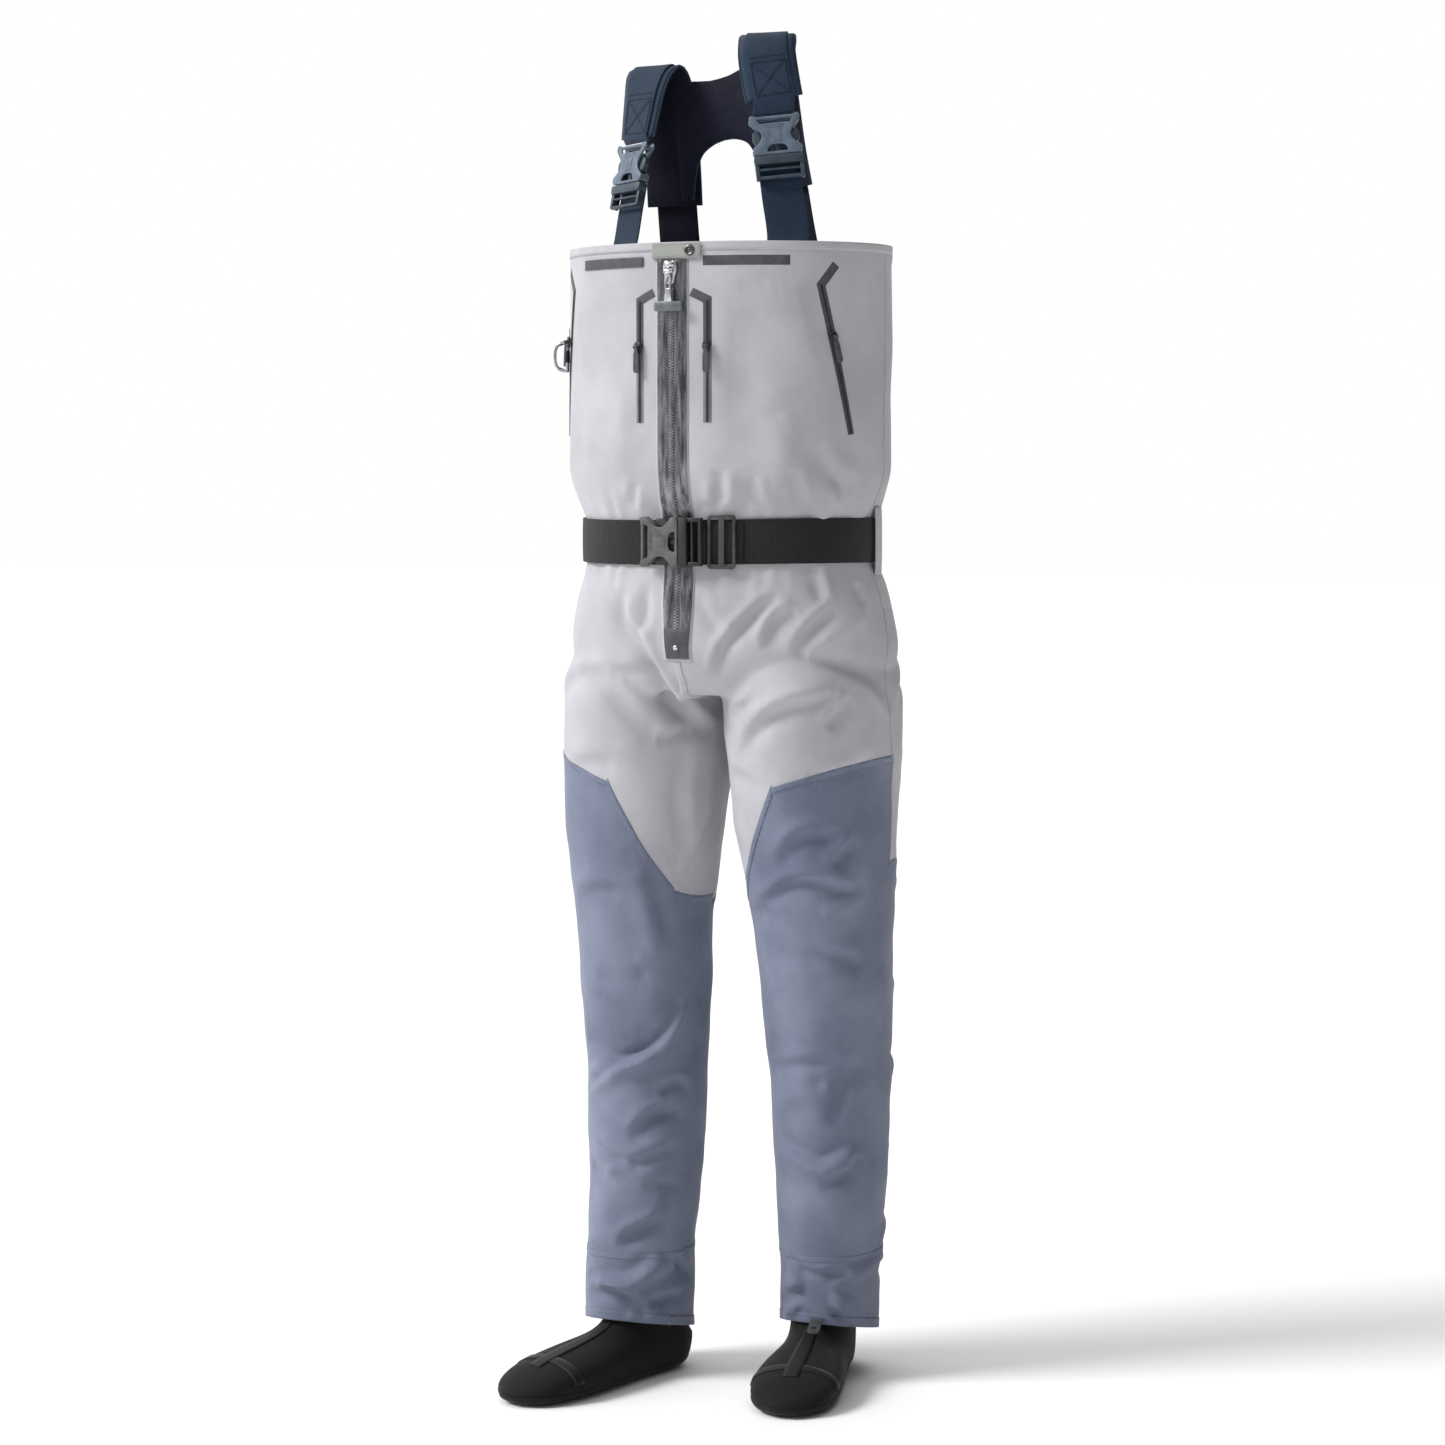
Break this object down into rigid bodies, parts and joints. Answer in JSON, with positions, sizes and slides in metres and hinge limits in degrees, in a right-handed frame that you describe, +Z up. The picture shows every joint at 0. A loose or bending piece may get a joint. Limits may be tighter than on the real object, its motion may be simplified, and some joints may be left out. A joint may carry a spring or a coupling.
{
  "type": "chest waders",
  "caption": "Stocking-foot chest waders with a front zip, gravel guards, a wading belt, chest pockets and a clip-on padded shoulder harness.",
  "frame": {"origin": "on the floor, under the middle of the whole part's bounding box", "axes": "+Z up; the wearer faces -Y; +X is the wearer's left"},
  "size_m": [0.4102, 0.3968, 1.5446],
  "materials": {
    "grey_fabric": "light grey laminated nylon, matt",
    "blue_fabric": "slate-blue laminated nylon, matt",
    "neoprene": "black neoprene with a knit face",
    "black_webbing": "black woven webbing",
    "navy_webbing": "navy woven webbing",
    "navy_mesh": "dark navy padded mesh",
    "zip_rubber": "dark grey coated zip tape, satin",
    "zip_metal": "satin grey metal",
    "pocket_tape": "charcoal laminated zip tape",
    "buckle_nylon": "grey-blue nylon",
    "black_nylon": "black nylon",
    "grey_nylon": "grey nylon",
    "ring_steel": "bright steel wire"
  },
  "bodies": {
    "garment": {"accessory_bar_left": "pocket_tape", "accessory_bar_right": "pocket_tape", "belt": "black_webbing", "belt_buckle_female": "grey_nylon", "belt_loop_back": "grey_fabric", "belt_loop_left": "grey_fabric", "belt_loop_right": "grey_fabric", "bootie_left": "neoprene", "bootie_right": "neoprene", "bootie_sole_left": "neoprene", "bootie_sole_right": "neoprene", "chest_back": "grey_fabric", "chest_front_left": "grey_fabric", "chest_front_right": "grey_fabric", "front_zip": "zip_rubber", "gravel_guard_left": "blue_fabric", "gravel_guard_right": "blue_fabric", "guard_hook_right": "black_nylon", "hip_front_left": "grey_fabric", "hip_front_right": "grey_fabric", "inner_pocket_zip_left": "pocket_tape", "inner_pocket_zip_right": "pocket_tape", "lower_leg_left": "blue_fabric", "lower_leg_right": "blue_fabric", "outer_pocket_zip_left": "pocket_tape", "outer_pocket_zip_right": "pocket_tape", "pocket_bag_left": "grey_fabric", "pocket_bag_right": "grey_fabric", "ring_tab": "black_webbing", "seat": "grey_fabric", "snap_stud": "zip_metal", "strap_back_left": "navy_mesh", "strap_back_right": "navy_mesh", "strap_buckle_female_left": "buckle_nylon", "strap_buckle_female_right": "buckle_nylon", "strap_lower_left": "navy_webbing", "strap_lower_right": "navy_webbing", "strap_upper_left": "navy_webbing", "strap_upper_right": "navy_webbing", "yoke": "navy_mesh"},
    "front_zip_slider": {"front_zip_slider": "zip_metal"},
    "front_zip_pull": {"front_zip_pull": "zip_metal"},
    "snap_tab": {"snap_tab": "grey_fabric", "snap_cap": "zip_metal"},
    "d_ring": {"d_ring": "ring_steel"},
    "belt_buckle_male": {"belt_buckle_male": "black_nylon"},
    "belt_triglide": {"belt_triglide": "black_nylon"},
    "guard_hook_left": {"guard_hook_left": "black_nylon"},
    "strap_buckle_male_right": {"strap_buckle_male_right": "buckle_nylon"},
    "inner_slider_right": {"inner_slider_right": "pocket_tape"},
    "inner_pull_right": {"inner_pull_right": "pocket_tape"},
    "outer_slider_right": {"outer_slider_right": "pocket_tape"},
    "outer_pull_right": {"outer_pull_right": "pocket_tape"},
    "strap_buckle_male_left": {"strap_buckle_male_left": "buckle_nylon"},
    "inner_slider_left": {"inner_slider_left": "pocket_tape"},
    "inner_pull_left": {"inner_pull_left": "pocket_tape"},
    "outer_slider_left": {"outer_slider_left": "pocket_tape"},
    "outer_pull_left": {"outer_pull_left": "pocket_tape"}
  },
  "joints": [
    {"name": "front_zip_open", "type": "slide", "parent": "garment", "child": "front_zip_slider", "axis": [0, 0, -1], "range_m": [0, 0.205]},
    {"name": "front_zip_pull_swing", "type": "hinge", "parent": "front_zip_slider", "child": "front_zip_pull", "pos_m": [0.00307, -0.1092, 1.271], "axis": [-1, 0, 0], "range_deg": [0, 155]},
    {"name": "inner_zip_right_open", "type": "slide", "parent": "garment", "child": "inner_slider_right", "axis": [0, 0, -1], "range_m": [-0.03, 0.062]},
    {"name": "inner_pull_right_swing", "type": "hinge", "parent": "inner_slider_right", "child": "inner_pull_right", "pos_m": [-0.04007, -0.10341, 1.1885], "axis": [-0.986, 0.1665, 0], "range_deg": [0, 140]},
    {"name": "outer_zip_right_open", "type": "slide", "parent": "garment", "child": "outer_slider_right", "axis": [-0.1457, 0.1791, -0.973], "range_m": [-0.03, 0.06]},
    {"name": "outer_pull_right_swing", "type": "hinge", "parent": "outer_slider_right", "child": "outer_pull_right", "pos_m": [-0.16622, -0.0353, 1.1985], "axis": [-0.615, 0.754, 0.2309], "range_deg": [0, 140]},
    {"name": "strap_buckle_right_release", "type": "slide", "parent": "garment", "child": "strap_buckle_male_right", "axis": [-0.0749, -0.2235, -0.9718], "range_m": [0, 0.03]},
    {"name": "inner_zip_left_open", "type": "slide", "parent": "garment", "child": "inner_slider_left", "axis": [0, 0, -1], "range_m": [-0.03, 0.062]},
    {"name": "inner_pull_left_swing", "type": "hinge", "parent": "inner_slider_left", "child": "inner_pull_left", "pos_m": [0.0462, -0.10341, 1.1885], "axis": [-0.986, -0.1665, 0], "range_deg": [0, 140]},
    {"name": "outer_zip_left_open", "type": "slide", "parent": "garment", "child": "outer_slider_left", "axis": [0.1457, 0.1791, -0.973], "range_m": [-0.03, 0.06]},
    {"name": "outer_pull_left_swing", "type": "hinge", "parent": "outer_slider_left", "child": "outer_pull_left", "pos_m": [0.17235, -0.0353, 1.1985], "axis": [-0.615, -0.754, -0.2309], "range_deg": [0, 140]},
    {"name": "strap_buckle_left_release", "type": "slide", "parent": "garment", "child": "strap_buckle_male_left", "axis": [0.2108, -0.1688, -0.9629], "range_m": [0, 0.03]},
    {"name": "belt_buckle_release", "type": "slide", "parent": "garment", "child": "belt_buckle_male", "axis": [0.9994, 0.0337, 0], "range_m": [0, 0.03]},
    {"name": "belt_triglide_adjust", "type": "slide", "parent": "belt_buckle_male", "child": "belt_triglide", "axis": [0.97, 0.2433, 0], "range_m": [0, 0.02]},
    {"name": "snap_tab_open", "type": "hinge", "parent": "garment", "child": "snap_tab", "pos_m": [-0.02049, -0.10011, 1.294], "axis": [0, 0, -1], "range_deg": [0, 120]},
    {"name": "d_ring_swing", "type": "hinge", "parent": "garment", "child": "d_ring", "pos_m": [-0.18898, 0.01136, 1.1835], "axis": [0, 0, 1], "range_deg": [-75, 75]},
    {"name": "guard_hook_left_lift", "type": "hinge", "parent": "garment", "child": "guard_hook_left", "pos_m": [0.12013, 0.03543, 0.0775], "axis": [-0.9751, -0.2216, 0], "range_deg": [0, 95]}
  ]
}
